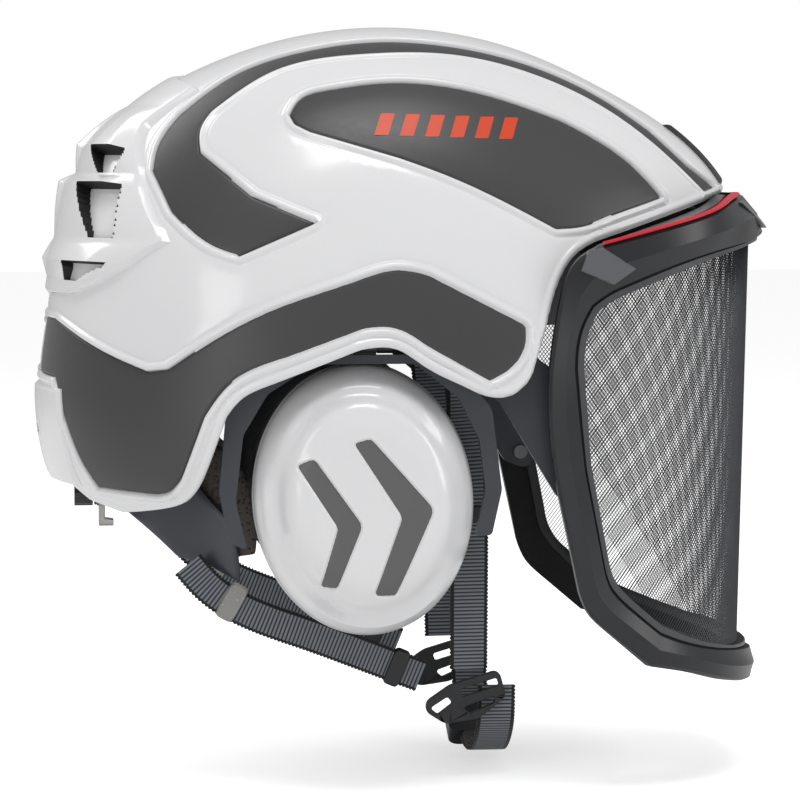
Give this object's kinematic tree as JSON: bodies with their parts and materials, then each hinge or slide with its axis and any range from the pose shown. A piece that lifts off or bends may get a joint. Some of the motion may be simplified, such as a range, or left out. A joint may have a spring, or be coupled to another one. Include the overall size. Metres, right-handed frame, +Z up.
{
  "type": "forestry helmet",
  "caption": "Hard-shell forestry helmet with inset side panels, swinging mesh visor, built-in ear cups, rear vent cowl and a four-point chin strap.",
  "frame": {"origin": "midway between the centres of the two ear cups, on the mid-plane", "axes": "+X is where the wearer looks, +Y the wearer's left, +Z up"},
  "size_m": [0.3027, 0.22, 0.3023],
  "materials": {
    "white_shell": "glossy moulded ABS",
    "dark_panel": "satin inset panel",
    "grey_inlay": "satin inlay",
    "black_plastic": "satin moulded nylon",
    "steel_mesh": "black coated wire mesh",
    "steel": "plain",
    "rubber_post": "plain black rubber",
    "button": "fine-textured grey",
    "red_seal": "red sealing lip",
    "webbing": "ribbed polyester webbing with black edges",
    "pad_fabric": "perforated padding",
    "cushion_skin": "foam-filled black artificial leather",
    "foam": "open-cell damping foam",
    "clear_clip": "frosted clear plastic"
  },
  "bodies": {
    "helmet": {"brow_vent": "dark_panel", "buckle_body": "black_plastic", "cape_clip": "clear_clip", "chin_pad": "pad_fabric", "chin_strap": "webbing", "crest_panel_left": "dark_panel", "crest_panel_right": "dark_panel", "crown_cradle": "webbing", "crown_pad": "pad_fabric", "ear_brackets": "black_plastic", "front_strap_left": "webbing", "front_strap_right": "webbing", "head_band": "black_plastic", "inner_shell": "black_plastic", "liner_posts": "rubber_post", "lower_band_panel": "dark_panel", "nape_cradle": "black_plastic", "nape_pad": "pad_fabric", "outer_shell": "white_shell", "ratchet_cover": "black_plastic", "ratchet_housing": "black_plastic", "rear_plate": "white_shell", "rear_strap_left": "webbing", "rear_strap_right": "webbing", "rear_vent_cowl": "white_shell", "strap_anchors": "black_plastic", "strap_slider_left": "black_plastic", "strap_slider_right": "black_plastic", "sweat_band": "pad_fabric", "sweep_panel_left": "dark_panel", "sweep_panel_right": "dark_panel", "visor_pins": "steel"},
    "visor": {"visor_frame": "black_plastic", "visor_mesh": "steel_mesh", "mesh_retainer": "black_plastic", "visor_seal": "red_seal", "arm_screws": "steel", "visor_arm_right": "black_plastic", "visor_arm_left": "black_plastic"},
    "ratchet": {"ratchet_knob": "black_plastic"},
    "rack_right": {"size_rack_right": "black_plastic"},
    "rack_left": {"size_rack_left": "black_plastic"},
    "buckle_press": {"buckle_button": "button"},
    "ear_slider_right": {"ear_carriage_right": "black_plastic", "ear_pin_right": "steel"},
    "ear_swing_right": {"ear_yoke_right": "black_plastic"},
    "ear_muff_right": {"ear_cup_right": "white_shell", "ear_chevrons_right": "grey_inlay", "ear_cushion_right": "cushion_skin", "ear_foam_right": "foam", "ear_back_plate_right": "black_plastic"},
    "ear_slider_left": {"ear_carriage_left": "black_plastic", "ear_pin_left": "steel"},
    "ear_swing_left": {"ear_yoke_left": "black_plastic"},
    "ear_muff_left": {"ear_cup_left": "white_shell", "ear_chevrons_left": "grey_inlay", "ear_cushion_left": "cushion_skin", "ear_foam_left": "foam", "ear_back_plate_left": "black_plastic"}
  },
  "joints": [
    {"name": "visor_swing", "type": "hinge", "parent": "helmet", "child": "visor", "pos_m": [0.02, 0, 0.08], "axis": [0, -1, 0], "range_deg": [0, 42]},
    {"name": "ratchet_turn", "type": "hinge", "parent": "helmet", "child": "ratchet", "pos_m": [-0.1, 0, 0.002], "axis": [1, 0, 0], "range_deg": [-80, 80]},
    {"name": "size_slide_right", "type": "slide", "parent": "helmet", "child": "rack_right", "axis": [0, -1, 0], "range_m": [-0.0056, 0.0056]},
    {"name": "ear_height_right", "type": "slide", "parent": "helmet", "child": "ear_slider_right", "axis": [0, 0, 1], "range_m": [-0.012, 0.002]},
    {"name": "ear_swing_right", "type": "hinge", "parent": "ear_slider_right", "child": "ear_swing_right", "pos_m": [0, -0.0905, 0.061], "axis": [-1, 0, 0], "range_deg": [0, 12]},
    {"name": "ear_tilt_right", "type": "hinge", "parent": "ear_swing_right", "child": "ear_muff_right", "pos_m": [0, -0.0925, -0.008], "axis": [1, 0, 0], "range_deg": [-2, 2]},
    {"name": "size_slide_left", "type": "slide", "parent": "helmet", "child": "rack_left", "axis": [0, 1, 0], "range_m": [-0.0056, 0.0056]},
    {"name": "ear_height_left", "type": "slide", "parent": "helmet", "child": "ear_slider_left", "axis": [0, 0, 1], "range_m": [-0.012, 0.002]},
    {"name": "ear_swing_left", "type": "hinge", "parent": "ear_slider_left", "child": "ear_swing_left", "pos_m": [0, 0.0905, 0.061], "axis": [1, 0, 0], "range_deg": [0, 12]},
    {"name": "ear_tilt_left", "type": "hinge", "parent": "ear_swing_left", "child": "ear_muff_left", "pos_m": [0, 0.0925, -0.008], "axis": [1, 0, 0], "range_deg": [-2, 2]},
    {"name": "buckle_push", "type": "slide", "parent": "helmet", "child": "buckle_press", "axis": [0, -0.3746, 0.9272], "range_m": [0, 0.0012]}
  ],
  "couplings": [
    {"joint": "size_slide_right", "follows": "ratchet_turn", "m_per_rad": 0.0039},
    {"joint": "size_slide_left", "follows": "ratchet_turn", "m_per_rad": 0.0039}
  ]
}
